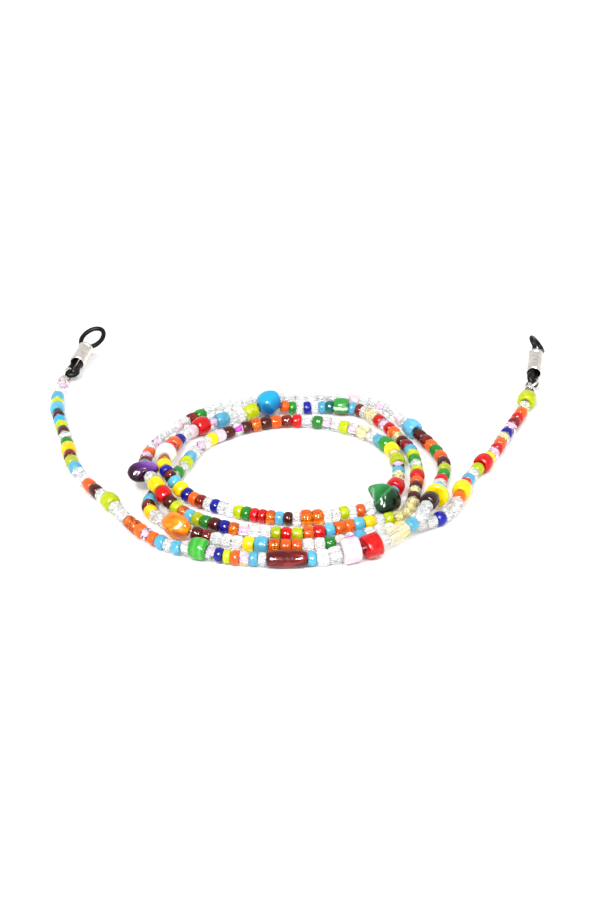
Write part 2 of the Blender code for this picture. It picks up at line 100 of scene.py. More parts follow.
# Where the wire lies: x, y, height in millimetres, and the accent bead centred there, if any.
ROUTE = (
    (-56.9, 28.6, 1.75, None),
    (-57.2, 22.0, 1.75, None),
    (-56.2, 15.0, 1.75, None),
    (-54.0, 7.0, 1.75, None),
    (-51.8, -0.5, 1.75, None),
    (-50.0, -7.5, 1.8, None),
    (-46.8, -14.5, 1.75, None),
    (-43.0, -20.2, 1.8, None),
    (-39.6, -24.8, 2.0, "lime_round_left"),
    (-36.8, -29.4, 1.75, None),
    (-33.4, -34.0, 1.75, None),
    (-29.0, -38.6, 1.75, None),
    (-24.6, -41.5, 1.8, None),
    (-20.0, -42.9, 2.3, "green_round"),
    (-14.8, -44.6, 1.8, None),
    (-9.0, -45.6, 1.8, None),
    (-2.6, -45.8, 1.75, "garnet_oval"),
    (4.6, -45.2, 1.9, None),
    (10.0, -44.2, 2.7, "pink_tube"),
    (14.2, -42.6, 2.7, "red_chunk"),
    (19.5, -38.9, 3.4, "crystal_tube"),
    (22.6, -36.8, 4.3, None),
    (24.6, -34.0, 4.8, None),
    (26.6, -28.8, 4.6, "brown_pearl"),
    (28.4, -25.0, 3.6, "yellow_disc"),
    (30.0, -16.6, 1.8, None),
    (31.2, -12.0, 1.75, None),
    (31.2, -7.2, 1.75, None),
    (29.8, -2.2, 1.75, None),
    (27.8, 2.2, 1.8, None),
    (25.4, 6.0, 2.3, "sky_round"),
    (23.2, 11.2, 1.75, None),
    (20.0, 16.2, 1.75, None),
    (14.6, 19.8, 1.75, None),
    (7.6, 21.4, 1.75, None),
    (0.0, 21.9, 1.75, None),
    (-7.2, 21.4, 1.75, None),
    (-13.0, 19.6, 1.75, None),
    (-18.6, 16.8, 1.75, None),
    (-23.6, 12.8, 1.75, None),
    (-28.0, 7.6, 1.75, None),
    (-31.2, 1.6, 1.9, None),
    (-33.0, -5.2, 2.8, None),
    (-33.4, -10.8, 3.7, None),
    (-32.6, -17.4, 5.0, "purple_nugget"),
    (-30.4, -21.8, 4.9, None),
    (-27.6, -25.6, 3.2, None),
    (-24.4, -28.4, 1.9, None),
    (-20.8, -31.2, 1.75, None),
    (-16.6, -33.4, 1.75, None),
    (-12.0, -35.2, 1.75, None),
    (-6.4, -36.2, 1.75, None),
    (-0.6, -36.6, 1.75, None),
    (5.0, -35.6, 1.75, None),
    (10.2, -33.6, 1.75, None),
    (15.8, -31.8, 1.75, None),
    (19.6, -30.6, 1.75, None),
    (22.2, -28.2, 1.75, None),
    (23.6, -24.4, 1.75, None),
    (24.4, -19.6, 1.75, None),
    (25.2, -14.2, 1.7, "red_round_middle"),
    (25.2, -8.4, 1.75, None),
    (24.4, -2.8, 1.75, None),
    (22.2, 2.6, 1.75, None),
    (19.8, 8.0, 1.75, None),
    (16.6, 12.6, 1.9, "gold_crystal"),
    (13.6, 15.8, 1.8, None),
    (9.6, 16.6, 2.2, "green_striped"),
    (4.2, 17.2, 1.75, None),
    (-1.6, 16.8, 1.8, None),
    (-7.2, 16.0, 3.0, "blue_nugget"),
    (-12.8, 13.8, 1.8, None),
    (-17.8, 10.8, 2.0, None),
    (-22.4, 7.2, 2.2, "red_round_rear"),
    (-25.6, 3.6, 2.0, None),
    (-27.6, -0.6, 2.5, None),
    (-28.6, -5.2, 3.6, None),
    (-29.0, -10.2, 4.9, "white_round"),
    (-29.0, -15.0, 4.8, None),
    (-27.2, -18.8, 4.3, None),
    (-24.2, -22.0, 2.5, None),
    (-20.4, -24.4, 1.75, None),
    (-14.6, -27.4, 1.75, None),
    (-8.8, -29.6, 1.75, None),
    (-2.8, -30.8, 1.75, None),
    (3.2, -30.6, 1.75, None),
    (8.8, -28.8, 1.75, None),
    (13.4, -27.8, 2.0, None),
    (17.6, -26.0, 3.0, "green_nugget"),
    (20.2, -19.2, 2.1, "red_round_inner"),
    (21.2, -13.2, 1.8, None),
    (21.2, -7.2, 1.8, None),
    (20.0, -2.0, 1.8, None),
    (16.8, 2.6, 1.75, None),
    (12.6, 6.2, 1.75, None),
    (7.4, 9.0, 1.75, None),
    (1.0, 10.6, 1.75, None),
    (-5.6, 10.2, 1.75, None),
    (-11.4, 8.2, 1.75, None),
    (-16.4, 5.0, 1.75, None),
    (-20.6, 1.2, 1.75, None),
    (-23.4, -4.0, 1.75, None),
    (-25.2, -9.6, 1.75, None),
    (-27.4, -15.2, 1.75, None),
    (-30.0, -20.0, 1.75, None),
    (-31.3, -23.6, 1.75, None),
    (-31.3, -27.0, 1.75, None),
    (-29.4, -30.4, 1.85, None),
    (-25.0, -35.6, 3.0, "orange_nugget"),
    (-18.4, -37.8, 1.75, None),
    (-12.6, -39.8, 1.8, None),
    (-6.6, -40.8, 1.8, None),
    (-0.6, -41.0, 1.75, None),
    (5.4, -40.2, 1.75, None),
    (11.0, -38.2, 1.75, None),
    (16.4, -35.6, 1.75, None),
    (22.0, -33.8, 1.75, None),
    (27.6, -31.6, 1.75, None),
    (31.8, -27.2, 1.75, None),
    (34.2, -20.4, 2.1, "yellow_round"),
    (36.6, -14.2, 1.75, None),
    (39.9, -9.2, 2.1, "red_round_right"),
    (43.0, -3.6, 1.75, None),
    (45.8, 2.8, 1.75, None),
    (48.8, 9.2, 1.8, None),
    (51.4, 14.8, 1.8, None),
    (53.2, 19.6, 2.3, "lime_round_right"),
    (54.4, 23.6, 2.0, None),
)

# The seed beads of each stretch, one letter a bead; a capital is a larger bead.
STRETCHES = (
    "pcslSktlkcgYnlsccokc",
    "cccaaoposcsc",
    "pblopsc",
    "sCC",
    "",
    "c",
    "sccc",
    "",
    "sscrglkogonk",
    "cwccpccwcccccccpccccccgncwcccpcopnj",
    "cYRklaslgkbapcclrlorsoosyclededkdko",
    "lcglsvkeorpr",
    "cns",
    "jscbcgo",
    "LccSp",
    "wcbOry",
    "aYbnsYboncbcclgrraskcAAcclcoc",
    "s",
    "ddspLdYGscDplcpgcrnokakmkwycpcslcgccynsnycc",
    "kncccySaooccgcmscccycccbccco",
    "rscl",
    "yprodbpvroc",
    "k",
)

# Each accent bead: its shape, its length along the wire, its diameter and its material slot.
ACCENTS = {
    "lime_round_left": ("round", 3.4, 3.8, "lime_glass"),
    "green_round": ("round", 3.6, 4.4, "green_glass"),
    "garnet_oval": ("oval", 8.0, 3.5, "garnet_glass"),
    "pink_tube": ("tube", 3.6, 5.1, "pink_glass"),
    "red_chunk": ("chunk", 3.3, 5.1, "red_glass"),
    "crystal_tube": ("tube", 5.0, 3.3, "crystal_glass"),
    "brown_pearl": ("round", 3.4, 3.8, "brown_pearl"),
    "yellow_disc": ("round", 1.7, 5.0, "yellow_glass"),
    "sky_round": ("round", 3.6, 4.2, "sky_glass"),
    "purple_nugget": ("nugget", 4.4, 6.2, "purple_stone"),
    "red_round_middle": ("round", 2.4, 3.2, "red_glass"),
    "gold_crystal": ("chunk", 3.2, 3.6, "gold_glass"),
    "green_striped": ("round", 3.4, 4.0, "green_glass"),
    "blue_nugget": ("nugget", 5.6, 5.8, "blue_stone"),
    "red_round_rear": ("round", 3.4, 4.2, "red_glass"),
    "white_round": ("round", 4.0, 4.5, "white_glass"),
    "green_nugget": ("nugget", 5.8, 6.4, "green_stone"),
    "red_round_inner": ("round", 3.0, 4.0, "red_glass"),
    "orange_nugget": ("nugget", 7.0, 5.8, "orange_stone"),
    "yellow_round": ("round", 3.6, 4.0, "yellow_glass"),
    "red_round_right": ("round", 3.2, 4.1, "red_glass"),
    "lime_round_right": ("round", 3.6, 4.4, "lime_glass"),
}

# How each fitting lies: the loop's heading, climb and roll in degrees, its droop and sway past the
# neck, the sleeve's place on it, and the climb and the turn of the eye ring.
FITTINGS = {
    "left": {"heading": 78.0, "climb": 7.0, "roll": 0.0, "droop": -0.36, "sway": 0.25,
             "sleeve_at": 7.35, "ring_climb": 0.08, "ring_turn": -27.0},
    "right": {"heading": 79.0, "climb": 16.0, "roll": -55.0, "droop": 0.62, "sway": 0.0,
              "sleeve_at": 5.8, "ring_climb": 0.05, "ring_turn": 0.0},
}

# Colours as they show on a lit surface, red, green and blue from 0 to 255.
PALETTE = {
    "sky": (84, 170, 202),
    "turquoise": (34, 156, 198),
    "teal": (8, 104, 98),
    "cobalt": (16, 18, 140),
    "ink": (70, 13, 4),
    "root_beer": (158, 40, 2),
    "amber": (232, 116, 4),
    "orange": (226, 90, 10),
    "red": (196, 6, 10),
    "crimson": (132, 4, 14),
    "yellow": (244, 206, 0),
    "lime": (176, 190, 8),
    "green": (34, 130, 34),
    "olive": (246, 242, 190),
    "gold": (246, 226, 166),
    "magenta": (196, 50, 180),
    "rose": (246, 178, 224),
    "pearl": (216, 188, 200),
    "silver": (232, 232, 230),
    "clear": (252, 253, 253),
    "straw": (253, 247, 220),
}

# The glass of each seed letter, and for some the lining of the hole.
PLAIN_SEEDS = {
    "c": "clear", "w": "pearl", "s": "sky", "t": "turquoise", "j": "teal", "b": "cobalt", "k": "ink",
    "o": "orange", "r": "red", "v": "crimson", "y": "yellow", "l": "lime", "g": "green",
}
LINED_SEEDS = {
    "p": ("lined", "rose"), "m": ("lined", "magenta"), "n": ("root_beer", "copper"),
    "a": ("amber", "gold"), "e": ("olive", "gold"), "d": ("straw", "gold"),
}


# ---------------- materials

def linear(colour):
    """An 8-bit screen colour as the linear values that a shader takes."""
    values = [c / 255 for c in colour]
    return (*[v / 12.92 if v <= 0.04045 else ((v + 0.055) / 1.055) ** 2.4 for v in values], 1.0)


def scaled(colour, by):
    return tuple(min(255, max(0, c * by)) for c in colour)


class Shader:
    """A node material under construction, round one Principled BSDF."""

    def __init__(self, name):
        self.material = bpy.data.materials.new(name)
        self.material.use_nodes = True
        self.tree = self.material.node_tree
        self.bsdf = self.tree.nodes["Principled BSDF"]
        self.coordinates = self.node("ShaderNodeTexCoord").outputs["Object"]

    def node(self, kind, **settings):
        made = self.tree.nodes.new(kind)
        for key, value in settings.items():
            setattr(made, key, value)
        return made

    def link(self, source, target):
        self.tree.links.new(source, target)

    def set(self, **values):
        for key, value in values.items():
            self.bsdf.inputs[key.replace("_", " ")].default_value = value

    def noise(self, per_mm, detail=3.0, stretch=(1, 1, 1), distortion=0.0):
        """A noise whose features are about 1 / per_mm millimetres across."""
        mapping = self.node("ShaderNodeMapping")
        mapping.inputs["Scale"].default_value = [1000 * per_mm * s for s in stretch]
        self.link(self.coordinates, mapping.inputs["Vector"])
        texture = self.node("ShaderNodeTexNoise")
        texture.inputs["Scale"].default_value = 1.0
        texture.inputs["Detail"].default_value = detail
        texture.inputs["Distortion"].default_value = distortion
        self.link(mapping.outputs["Vector"], texture.inputs["Vector"])
        return texture.outputs["Fac"]

    def ramp(self, factor, stops):
        """A colour ramp over the factor, from (place, colour) stops."""
        ramp = self.node("ShaderNodeValToRGB")
        elements = ramp.color_ramp.elements
        elements.remove(elements[1])
        elements[0].position, elements[0].color = stops[0][0], linear(stops[0][1])
        for place, colour in stops[1:]:
            elements.new(place).color = linear(colour)
        self.link(factor, ramp.inputs["Fac"])
        return ramp.outputs["Color"]

    def grey_range(self, factor, low, high):
        """The factor spread from low to high."""
        spread = self.node("ShaderNodeMapRange")
        spread.inputs["From Min"].default_value = 0.3
        spread.inputs["From Max"].default_value = 0.7
        spread.inputs["To Min"].default_value = low
        spread.inputs["To Max"].default_value = high
        self.link(factor, spread.inputs["Value"])
        return spread.outputs["Result"]

    def toned(self, colour):
        """The colour made a little lighter or darker from bead to bead."""
        tone = self.node("ShaderNodeAttribute", attribute_name="tone")
        change = self.node("ShaderNodeHueSaturation")
        self.link(self.grey_range(tone.outputs["Fac"], 0.88, 1.12), change.inputs["Value"])
        self.link(colour, change.inputs["Color"])
        return change.outputs["Color"]

    def bump(self, factor, height_mm):
        bump = self.node("ShaderNodeBump")
        bump.inputs["Distance"].default_value = height_mm * MM
        bump.inputs["Strength"].default_value = 1.0
        self.link(factor, bump.inputs["Height"])
        self.link(bump.outputs["Normal"], self.bsdf.inputs["Normal"])

    def colour(self, socket):
        self.link(socket, self.bsdf.inputs["Base Color"])

    def roughness(self, factor, low, high):
        self.link(self.grey_range(factor, low, high), self.bsdf.inputs["Roughness"])


def opaque_glass(name, colour):
    """Pressed opaque glass: a clouded body colour under a fire-polished, slightly wavy skin."""
    look = Shader(name)
    cloud = look.noise(0.9, 3.0)
    stops = [(0.25, scaled(colour, 0.86)), (0.55, colour), (0.85, scaled(colour, 1.07))]
    look.colour(look.toned(look.ramp(cloud, stops)))
    look.roughness(look.noise(2.2, 2.0), 0.06, 0.16)
    look.bump(look.noise(1.1, 1.5), 0.03)
    look.set(IOR=1.52, Specular_IOR_Level=0.3)
    return look.material


def clear_glass(name, colour, milk=0.0):
    """Glass with a faint waviness that breaks up what is seen through it, and a share of milk in it."""
    look = Shader(name)
    cords = look.noise(1.6, 2.0)
    look.colour(look.ramp(cords, [(0.3, scaled(colour, 0.95)), (0.7, colour)]))
    look.roughness(look.noise(2.5, 2.0), 0.018, 0.048)
    look.bump(look.noise(1.3, 2.0), 0.008)
    look.set(IOR=1.44, Transmission_Weight=1.0 - milk)
    return look.material


def lining(name, colour, metallic):
    """The colour or foil that lines a bead's hole."""
    look = Shader(name)
    flakes = look.noise(3.5, 4.0)
    look.colour(look.ramp(flakes, [(0.35, scaled(colour, 0.78)), (0.65, scaled(colour, 1.1))]))
    look.roughness(flakes, 0.18, 0.4)
    look.bump(flakes, 0.05)
    look.set(Metallic=metallic)
    return look.material


def veined(name, stops, per_mm, stretch=(1, 1, 1), distortion=1.5, transmission=0.0):
    """Polished dyed stone or layered glass: colour in drifts and veins under a deep gloss; on the white
    glass the drifts are tints of painted shade and painted reflection.
    """
    look = Shader(name)
    drift = look.noise(per_mm, 4.0, stretch, distortion)
    look.colour(look.ramp(drift, stops))
    look.roughness(look.noise(1.5, 3.0), 0.06, 0.20)
    look.bump(look.noise(0.8, 2.0), 0.05)
    look.set(IOR=1.54, Specular_IOR_Level=0.25, Coat_Weight=0.1, Coat_Roughness=0.03,
             Transmission_Weight=transmission)
    return look.material


def pearl(name, colour, painted_sheen):
    """Opaque pearl glass, with a lighter colour of painted sheen that drifts over it in patches."""
    look = Shader(name)
    drift = look.noise(0.6, 3.0)
    look.colour(look.toned(look.ramp(drift, [(0.35, colour), (0.65, painted_sheen)])))
    look.roughness(look.noise(1.8, 3.0), 0.14, 0.28)
    look.bump(look.noise(1.2, 2.0), 0.03)
    look.set(Specular_IOR_Level=0.3, Coat_Weight=0.2, Coat_Roughness=0.04)
    return look.material


def plated_metal(name):
    """Polished nickel plate with hairline wear and a little tarnish."""
    look = Shader(name)
    wear = look.noise(1.2, 4.0, (1, 1, 0.25))
    look.colour(look.ramp(wear, [(0.3, (204, 196, 188)), (0.6, (226, 218, 210)), (0.8, (238, 232, 226))]))
    look.roughness(look.noise(3.0, 4.0, (1, 1, 0.2)), 0.10, 0.20)
    look.bump(look.noise(2.0, 3.0, (1, 1, 0.1)), 0.002)
    look.set(Metallic=1.0)
    return look.material


def rubber(name):
    """Black silicone cord: soft gloss, a fine moulded grain and a trace of dust."""
    look = Shader(name)
    dust = look.noise(1.4, 5.0)
    look.colour(look.ramp(dust, [(0.45, (4, 4, 5)), (0.9, (16, 16, 18))]))
    look.roughness(dust, 0.34, 0.5)
    look.bump(look.noise(9.0, 3.0), 0.015)
    look.set(IOR=1.45, Specular_IOR_Level=0.18)
    return look.material


def beading_wire(name):
    """Fine steel strands under a clear nylon skin."""
    look = Shader(name)
    lay = look.noise(3.0, 2.0)
    look.colour(look.ramp(lay, [(0.35, (120, 120, 122)), (0.65, (214, 214, 216))]))
    look.roughness(lay, 0.2, 0.35)
    look.bump(lay, 0.02)
    look.set(Metallic=0.6, Coat_Weight=0.6, Coat_Roughness=0.1)
    return look.material


def banded(name, axis, stops, depth_mm):
    """Glass or stone whose colour changes along an axis, in bands that wander by a tenth of its depth:
    real stripes on the green glass, painted light and painted shade, lighter towards the top, on the
    nuggets.
    """
    look = Shader(name)
    along = look.node("ShaderNodeVectorMath", operation="DOT_PRODUCT")
    look.link(look.coordinates, along.inputs[0])
    along.inputs[1].default_value = axis
    spread = look.node("ShaderNodeMapRange")
    spread.inputs["From Min"].default_value = -depth_mm / 2 * MM
    spread.inputs["From Max"].default_value = depth_mm / 2 * MM
    look.link(along.outputs["Value"], spread.inputs["Value"])
    wander = look.node("ShaderNodeMath", operation="MULTIPLY_ADD")
    look.link(look.noise(0.9, 3.0), wander.inputs[0])
    wander.inputs[1].default_value = 0.2
    shifted = look.node("ShaderNodeMath", operation="SUBTRACT")
    look.link(spread.outputs["Result"], shifted.inputs[0])
    shifted.inputs[1].default_value = 0.1
    look.link(shifted.outputs["Value"], wander.inputs[2])
    look.colour(look.ramp(wander.outputs["Value"], stops))
    look.roughness(look.noise(2.0, 2.0), 0.08, 0.2)
    look.bump(look.noise(1.0, 2.0), 0.03)
    look.set(IOR=1.52, Specular_IOR_Level=0.25, Coat_Weight=0.1, Coat_Roughness=0.03)
    return look.material


def make_materials():
    """The materials that pieces share, by name."""
    made = {}
    for name in ("sky", "turquoise", "teal", "cobalt", "ink", "orange", "red", "crimson", "yellow",
                 "lime", "green"):
        made[f"{name}_glass"] = opaque_glass(f"{name}_glass", PALETTE[name])
    for name, milk in (("clear", 0.22), ("straw", 0.15), ("amber", 0.1), ("olive", 0.25),
                       ("root_beer", 0.12)):
        made[f"{name}_glass"] = clear_glass(f"{name}_glass", PALETTE[name], milk)
    made["lined_glass"] = clear_glass("lined_glass", PALETTE["clear"])
    for name in ("rose", "magenta"):
        made[f"{name}_lining"] = lining(f"{name}_lining", PALETTE[name], 0.0)
    made["gold_lining"] = lining("gold_lining", PALETTE["gold"], 0.5)
    made["copper_lining"] = lining("copper_lining", (222, 120, 70), 1.0)
    made["silver_lining"] = lining("silver_lining", PALETTE["silver"], 1.0)
    # The pearl glass's second, lighter colour is its painted sheen.
    made["pearl_glass"] = pearl("pearl_glass", PALETTE["pearl"], (232, 214, 222))
    made["bronze_glass"] = opaque_glass("bronze_glass", (40, 14, 10))
    made["rubber"] = rubber("rubber")
    made["plated_metal"] = plated_metal("plated_metal")
    made["beading_wire"] = beading_wire("beading_wire")
    return made


# ---------------- the line of the wire

def placed(point):
    """A point of the route's frame, in metres in the chain's own frame."""
    return Vector((point[0] - CENTRE[0], point[1] - CENTRE[1], point[2])) * MM


def catmull_rom(a, b, c, d, t):
    return 0.5 * ((2 * b) + (c - a) * t + (2 * a - 5 * b + 4 * c - d) * t**2
                  + (3 * b - a - 3 * c + d) * t**3)


def smooth(points, steps, closed=False):
    """A smooth curve through the points, with so many steps from each point to the next."""
    if closed:
        ends = [points[-1], *points, *points[:2]]
    else:
        ends = [2 * points[0] - points[1], *points, 2 * points[-1] - points[-2]]
    curve = []
    for i in range(len(ends) - 3):
        curve += [catmull_rom(*ends[i:i + 4], k / steps) for k in range(steps)]
    return curve if closed else [*curve, points[-1]]


class Strand:
    """The line of the wire, read by the distance along it."""

    def __init__(self):
        self.points = [placed(stop) for stop in ROUTE]
        self.curve = smooth(self.points, SAMPLES)
        self.run = [0.0]
        for a, b in zip(self.curve, self.curve[1:]):
            self.run.append(self.run[-1] + (b - a).length)

    def at(self, distance):
        """The place and the direction at a distance from the left end."""
        low, high = 0, len(self.run) - 1
        while high - low > 1:
            middle = (low + high) // 2
            if self.run[middle] <= distance:
                low = middle
            else:
                high = middle
        a, b = self.curve[low], self.curve[high]
        share = (distance - self.run[low]) / (self.run[high] - self.run[low])
        return a.lerp(b, share), (b - a).normalized()

    def accent_stops(self):
        """Each accent bead's name and its distance from the left end."""
        return [(stop[3], self.run[i * SAMPLES]) for i, stop in enumerate(ROUTE) if stop[3]]

    def seed_runs(self):
        """Each run of seed beads: its node, where it starts and ends, and its letters."""
        edges = [0.0]
        for name, distance in self.accent_stops():
            half = ACCENTS[name][1] / 2 * MM
            edges += [distance - half, distance + half]
        edges.append(self.run[-1])
        runs = []
        for i, letters in enumerate(STRETCHES):
            start, end = edges[2 * i], edges[2 * i + 1]
            parts = math.ceil(len(letters) / RUN_MOST)
            for part in range(parts):
                first = len(letters) * part // parts
                last = len(letters) * (part + 1) // parts
                low = start + (end - start) * first / len(letters)
                high = start + (end - start) * last / len(letters)
                runs.append((f"bead_run_{len(runs) + 1:02d}", low, high, letters[first:last]))
        return runs


def cross_axes(direction):
    """Two directions across the wire: sideways, and the one nearest to up."""
    side = direction.cross(UP).normalized()
    return side, side.cross(direction).normalized()


# ---------------- meshes

class Skin:
    """Vertices and faces gathered for one mesh, with a material and a tone for each bead."""

    def __init__(self):
        self.points, self.faces, self.looks, self.tones, self.flat = [], [], [], [], []
        self.materials = []

    def slot(self, look):
        if look not in self.materials:
            self.materials.append(look)
        return self.materials.index(look)

    def add_hoops(self, hoops, looks, tone=0.5, flat=False):
        """A closed body skinned over hoops that come back to the first one, one look a band."""
        base, count = len(self.points), len(hoops[0])
        for hoop in hoops:
            self.points += hoop
            self.tones += [tone] * count
        for j in range(len(hoops)):
            ahead = (j + 1) % len(hoops)
            for i in range(count):
                after = (i + 1) % count
                self.faces.append((base + j * count + i, base + j * count + after,
                                   base + ahead * count + after, base + ahead * count + i))
                self.looks.append(self.slot(looks[j]))
                self.flat.append(flat)

    def finish(self, name, origin=None):
        origin = origin or Vector()
        mesh = bpy.data.meshes.new(name)
        mesh.from_pydata([p - origin for p in self.points], [], self.faces)
        for look in self.materials:
            mesh.materials.append(look)
        mesh.polygons.foreach_set("material_index", self.looks)
        mesh.polygons.foreach_set("use_smooth", [not flat for flat in self.flat])
        tones = mesh.attributes.new("tone", "FLOAT", "POINT")
        tones.data.foreach_set("value", self.tones)
        mesh.update()
        obj = bpy.data.objects.new(name, mesh)
        obj.location = origin
        bpy.context.collection.objects.link(obj)
        return obj


def stand_for(piece, body, slot, *nodes):
    """The piece rides on the body, and is shown instead of these CAD nodes."""
    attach(piece, body)
    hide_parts(*nodes)


def hoop_round(centre, side, up, radii):
    """A closed ring of points round a centre, one radius for each."""
    hoop = []
    for k, radius in enumerate(radii):
        angle = math.tau * k / len(radii)
        hoop.append(centre + (side * math.cos(angle) + up * math.sin(angle)) * (radius * MM))
    return hoop


def power(value, exponent):
    return math.copysign(abs(value) ** exponent, value)


def seed_section(length, radius, bore, steps, squareness):
    """A rounded bead's section: pairs of a place along the hole and a radius, round and round."""
    middle, half = (radius + bore) / 2, (radius - bore) / 2
    section = []
    for k in range(steps):
        angle = math.tau * k / steps
        along = length / 2 * power(math.cos(angle), squareness)
        section.append((along, middle + half * power(math.sin(angle), squareness)))
    return section


def bead_frame(direction, roll, tilt=None):
    """Side, up and along for a bead, turned on the wire and tilted a little off it."""
    side, up = cross_axes(direction)
    turned = Matrix.Rotation(roll, 3, direction)
    side, up, along = turned @ side, turned @ up, direction.copy()
    if tilt:
        lean = Matrix.Rotation(tilt[0], 3, side) @ Matrix.Rotation(tilt[1], 3, up)
        side, up, along = lean @ side, lean @ up, lean @ along
    return side, up, along


def add_seed(skin, centre, frame, length, radius, looks, tone, rng):
    """One seed bead: a short rounded tube of glass, a little out of round."""
    side, up, along = frame
    bore = SEED_BORE_SHARE * radius
    sides, steps = 24, 14
    squareness = rng.uniform(0.72, 0.92)
    phase, oval = rng.uniform(0, math.tau), rng.uniform(0.0, 0.035)
    hoops, bands = [], []
    for x, r in seed_section(length, radius, bore, steps, squareness):
        radii = [r * (1 + oval * math.cos(2 * math.tau * k / sides + phase)) for k in range(sides)]
        hoops.append(hoop_round(centre + along * (x * MM), side, up, radii))
    for k in range(steps):
        inside = math.sin(math.tau * (k + 0.5) / steps) < LINING_DEPTH
        bands.append(looks[1] if inside else looks[0])
    skin.add_hoops(hoops, bands, tone)


def seed_looks(letter, made, rng):
    """A seed's glass and the lining of its hole, which is the glass itself unless it is lined."""
    if letter in LINED_SEEDS:
        glass, lining_name = LINED_SEEDS[letter]
        return made[f"{glass}_glass"], made[f"{lining_name}_lining"]
    glass = made[f"{PLAIN_SEEDS[letter]}_glass"]
    if letter == "c" and rng.random() < SILVER_LINED:
        return glass, made["silver_lining"]
    return glass, glass


def seed_run(name, strand, low, high, letters, made, rng):
    """The seed beads of one run, each a bead of its own, strung tight."""
    skin = Skin()
    shares = [rng.uniform(0.9, 1.1) * (BIG_SEED_SHARE if letter.isupper() else 1.0)
              for letter in letters]
    scale = (high - low) / sum(shares)
    reach = low
    for letter, share in zip(letters, shares):
        length = share * scale
        centre, direction = strand.at(reach + length / 2)
        reach += length
        radius = rng.uniform(*(BIG_SEED_R if letter.isupper() else SEED_R))
        tilt = (rng.uniform(-0.05, 0.05), rng.uniform(-0.05, 0.05))
        frame = bead_frame(direction, rng.uniform(0, math.tau), tilt)
        looks = seed_looks(letter.lower(), made, rng)
        drop = max(0.0, min(SEED_DROP, centre.z / MM - radius - SEED_CLEARANCE))
        centre = centre - UP * (drop * MM)
        length_mm = min(length / MM * SEED_FILL, SEED_MOST)
        add_seed(skin, centre, frame, length_mm, radius, looks, rng.random(), rng)
    stand_for(skin.finish(f"seed_beads_{name[-2:]}"), "strand", "seed_glass", name)


def pebble_radius(direction, planes, sharpness):
    """How far a tumbled stone's surface lies along a direction: a soft cut by several planes."""
    total = 0.0
    for normal, distance in planes:
        total += (max(0.0, direction.dot(normal)) / distance) ** sharpness
    return total ** (-1 / sharpness)


def worn_faces(shape):
    """The worn faces of a nugget, spread evenly over it: each a direction and a distance."""
    rng = random.Random(shape["seed"])
    planes = []
    for k in range(shape["faces"]):
        lift = 1 - 2 * (k + 0.5) / shape["faces"]
        turn = k * GOLDEN_TURN + rng.uniform(-0.35, 0.35)
        flat = math.sqrt(1 - lift * lift)
        normal = Vector((flat * math.cos(turn), flat * math.sin(turn), lift)).normalized()
        planes.append((normal, rng.uniform(0.86, 1.06)))
    return planes


def pebble_hoop(shape, planes, swing, sides):
    """One hoop of a nugget's skin in millimetres, at an angle from the hole's axis."""
    length, width, height, aside, rise = shape["size"]
    hoop = []
    for i in range(sides):
        turn = math.tau * i / sides
        ray = Vector((math.cos(swing), math.sin(swing) * math.cos(turn), math.sin(swing) * math.sin(turn)))
        reach = pebble_radius(ray, planes, shape["sharpness"])
        reach *= 1 + 0.018 * noise.noise(ray * 2.3 + Vector((shape["seed"], 0, 0)))
        groove = shape.get("ribs", 0.0) * math.sin(turn * 5 + 2.5 * math.cos(swing))
        fade = math.sin(swing) ** 2
        hoop.append((ray.x * reach * length / 2,
                     ray.y * (reach + groove) * width / 2 + aside * fade,
                     ray.z * (reach + groove) * height / 2 + rise * fade))
    return hoop


def pebble(name, strand, distance, shape, look):
    """A tumbled nugget on the wire: worn faces, a shallow dimple at each end of its hole."""
    planes = worn_faces(shape)
    sides, steps, hole_steps = ACCENT_SIDES, 30, 7
    slimmest = min(shape["size"][1:3]) / 2
    first = math.asin(min(0.9, NUGGET_BORE_R * 1.25 / slimmest))
    hoops = [pebble_hoop(shape, planes, first + (math.pi - 2 * first) * j / (steps - 1), sides)
             for j in range(steps)]
    near, far = hoops[0][0][0] * 0.94, hoops[-1][0][0] * 0.94
    for j in range(hole_steps):
        share = j / (hole_steps - 1)
        x = far * (1 - share) + near * share
        turns = [math.tau * i / sides for i in range(sides)]
        hoops.append([(x, NUGGET_BORE_R * math.cos(a), NUGGET_BORE_R * math.sin(a)) for a in turns])
    skin = Skin()
    bent = [[bent_with_wire(strand, distance, shape["roll"], spot) for spot in hoop] for hoop in hoops]
    skin.add_hoops(bent, [look] * len(bent))
    return skin.finish(name, strand.at(distance)[0])


def bent_with_wire(strand, distance, roll, spot):
    """A spot of a straight bead, in millimetres from its middle, put where the curved wire takes it."""
    along, wide, high = spot
    place, ahead = strand.at(distance + along * MM)
    side, up = cross_axes(ahead)
    turned = Matrix.Rotation(roll, 3, ahead)
    return place + (turned @ side * wide + turned @ up * high) * MM


def turned_bead(name, strand, distance, section, sides, look, lining_look, uneven=None, flat=False,
                roll=0.0):
    """An accent bead turned round the wire from its section, and roughened by uneven(x, angle)."""
    place, direction = strand.at(distance)
    side, up, along = bead_frame(direction, roll)
    hoops, bands = [], []
    for k, (x, r) in enumerate(section):
        radii = []
        for i in range(sides):
            angle = math.tau * i / sides
            radii.append(r * (uneven(x, angle) if uneven and r > UNEVEN_FROM_R else 1.0))
        hoops.append(hoop_round(place + along * (x * MM), side, up, radii))
        ahead = section[(k + 1) % len(section)]
        bands.append(lining_look if max(r, ahead[1]) < BORE_BAND_R else look)
    skin = Skin()
    skin.add_hoops(hoops, bands, 0.5, flat)
    return skin.finish(name, place)


def faceted_section(length, radius, bore):
    """A cut crystal's section: a girdle, two bevels and a plain hole."""
    half, waist, mouth = length / 2, radius * 0.78, bore + 0.12
    return [(half, mouth), (half, waist), (half * 0.55, radius), (-half * 0.55, radius),
            (-half, waist), (-half, mouth), (-half * 0.93, bore), (half * 0.93, bore)]


